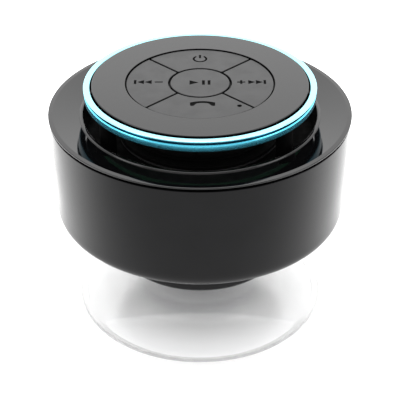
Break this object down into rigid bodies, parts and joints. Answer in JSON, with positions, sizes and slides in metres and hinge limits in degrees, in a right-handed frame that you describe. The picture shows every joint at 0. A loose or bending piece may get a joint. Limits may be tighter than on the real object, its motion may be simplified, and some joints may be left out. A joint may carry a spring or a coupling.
{
  "type": "shower speaker",
  "caption": "Drum-shaped wireless loudspeaker with a floating round control face, a trim ring and a screw-on clear suction cup.",
  "frame": {"origin": "centre of the suction cup's sealing rim, at the plane it seals on", "axes": "+Z along the drum's axis, from the suction cup to the control face; -Y towards the handset key; +X towards the next-track key"},
  "size_m": [0.098, 0.098, 0.0815],
  "materials": {
    "drum_shell": "satin",
    "gloss_shell": "gloss",
    "trim_ring": "anodised, satin gloss",
    "key_rubber": "matte",
    "soft_rubber": "matte",
    "clear_vinyl": "clear gloss",
    "screws": "satin",
    "brass_insert": "satin",
    "circuit_board": "solder mask",
    "radio_board": "solder mask",
    "chip_resin": "matte",
    "steel_parts": "pressed",
    "ferrite": "sintered",
    "copper_coil": "wound wire",
    "speaker_paper": "pressed paper",
    "spider_cloth": "resin-dipped cloth",
    "foil_pouch": "foil",
    "foam": "closed-cell foam",
    "lead_sleeve": "satin"
  },
  "bodies": {
    "root": {"housing_shell": "drum_shell", "rear_cover": "drum_shell", "driver_baffle": "drum_shell", "pod_base": "drum_shell", "front_collar": "gloss_shell", "face_plate": "gloss_shell", "trim_ring": "trim_ring", "key_membrane": "soft_rubber", "rear_gasket": "soft_rubber", "driver_surround": "soft_rubber", "stud_insert": "brass_insert", "key_board": "circuit_board", "main_board": "circuit_board", "bluetooth_module": "radio_board", "amplifier_chip": "chip_resin", "filter_capacitor": "foil_pouch", "usb_socket": "steel_parts", "microphone": "foil_pouch", "driver_frame": "steel_parts", "driver_top_plate": "steel_parts", "driver_yoke": "steel_parts", "driver_magnet": "ferrite", "driver_spider": "spider_cloth", "driver_gasket": "foam", "battery_pad": "foam", "battery_cell": "foil_pouch", "key_cable": "chip_resin", "speaker_lead": "lead_sleeve", "battery_lead": "lead_sleeve", "dome_play": "steel_parts", "dome_power": "steel_parts", "dome_handset": "steel_parts", "dome_previous": "steel_parts", "dome_next": "steel_parts", "cover_screw_1": "screws", "cover_screw_2": "screws", "cover_screw_3": "screws", "cover_screw_4": "screws", "baffle_screw_1": "screws", "pod_screw_1": "screws", "baffle_screw_2": "screws", "pod_screw_2": "screws", "baffle_screw_3": "screws", "pod_screw_3": "screws"},
    "play_key": {"key_play": "key_rubber"},
    "power_key": {"key_power": "key_rubber"},
    "handset_key": {"key_handset": "key_rubber"},
    "previous_key": {"key_previous": "key_rubber"},
    "next_key": {"key_next": "key_rubber"},
    "cone": {"driver_cone": "speaker_paper", "driver_dust_cap": "speaker_paper", "driver_voice_coil": "copper_coil"},
    "washer": {"cup_washer": "soft_rubber"},
    "cup": {"suction_cup": "clear_vinyl", "cup_stud": "steel_parts"},
    "port_flap": {"port_plug": "soft_rubber"}
  },
  "joints": [
    {"name": "play_press", "type": "slide", "parent": "root", "child": "play_key", "axis": [0, 0, -1], "range_m": [0, 0.0004], "stiffness_N_per_m": 1500, "deforming": ["dome_play"]},
    {"name": "power_press", "type": "slide", "parent": "root", "child": "power_key", "axis": [0, 0, -1], "range_m": [0, 0.0004], "stiffness_N_per_m": 1500, "deforming": ["dome_power"]},
    {"name": "handset_press", "type": "slide", "parent": "root", "child": "handset_key", "axis": [0, 0, -1], "range_m": [0, 0.0004], "stiffness_N_per_m": 1500, "deforming": ["dome_handset"]},
    {"name": "previous_press", "type": "slide", "parent": "root", "child": "previous_key", "axis": [0, 0, -1], "range_m": [0, 0.0004], "stiffness_N_per_m": 1500, "deforming": ["dome_previous"]},
    {"name": "next_press", "type": "slide", "parent": "root", "child": "next_key", "axis": [0, 0, -1], "range_m": [0, 0.0004], "stiffness_N_per_m": 1500, "deforming": ["dome_next"]},
    {"name": "cone_stroke", "type": "slide", "parent": "root", "child": "cone", "axis": [0, 0, 1], "range_m": [-0.001, 0.001], "stiffness_N_per_m": 1200, "deforming": ["driver_surround", "driver_spider"]},
    {"name": "cup_feed", "type": "slide", "parent": "root", "child": "washer", "axis": [0, 0, -1], "range_m": [0, 0.005]},
    {"name": "cup_turn", "type": "hinge", "parent": "washer", "child": "cup", "pos_m": [0, 0, 0.017], "axis": [0, 0, -1], "range_deg": [0, 1800]},
    {"name": "port_flap_hinge", "type": "hinge", "parent": "root", "child": "port_flap", "pos_m": [-0.03395, 0.03395, 0.04575], "axis": [-0.7071, -0.7071, 0], "range_deg": [0, 110], "stiffness_Nm_per_rad": 0.002}
  ],
  "couplings": [
    {"joint": "cup_feed", "follows": "cup_turn", "m_per_rad": 0.00015915}
  ]
}
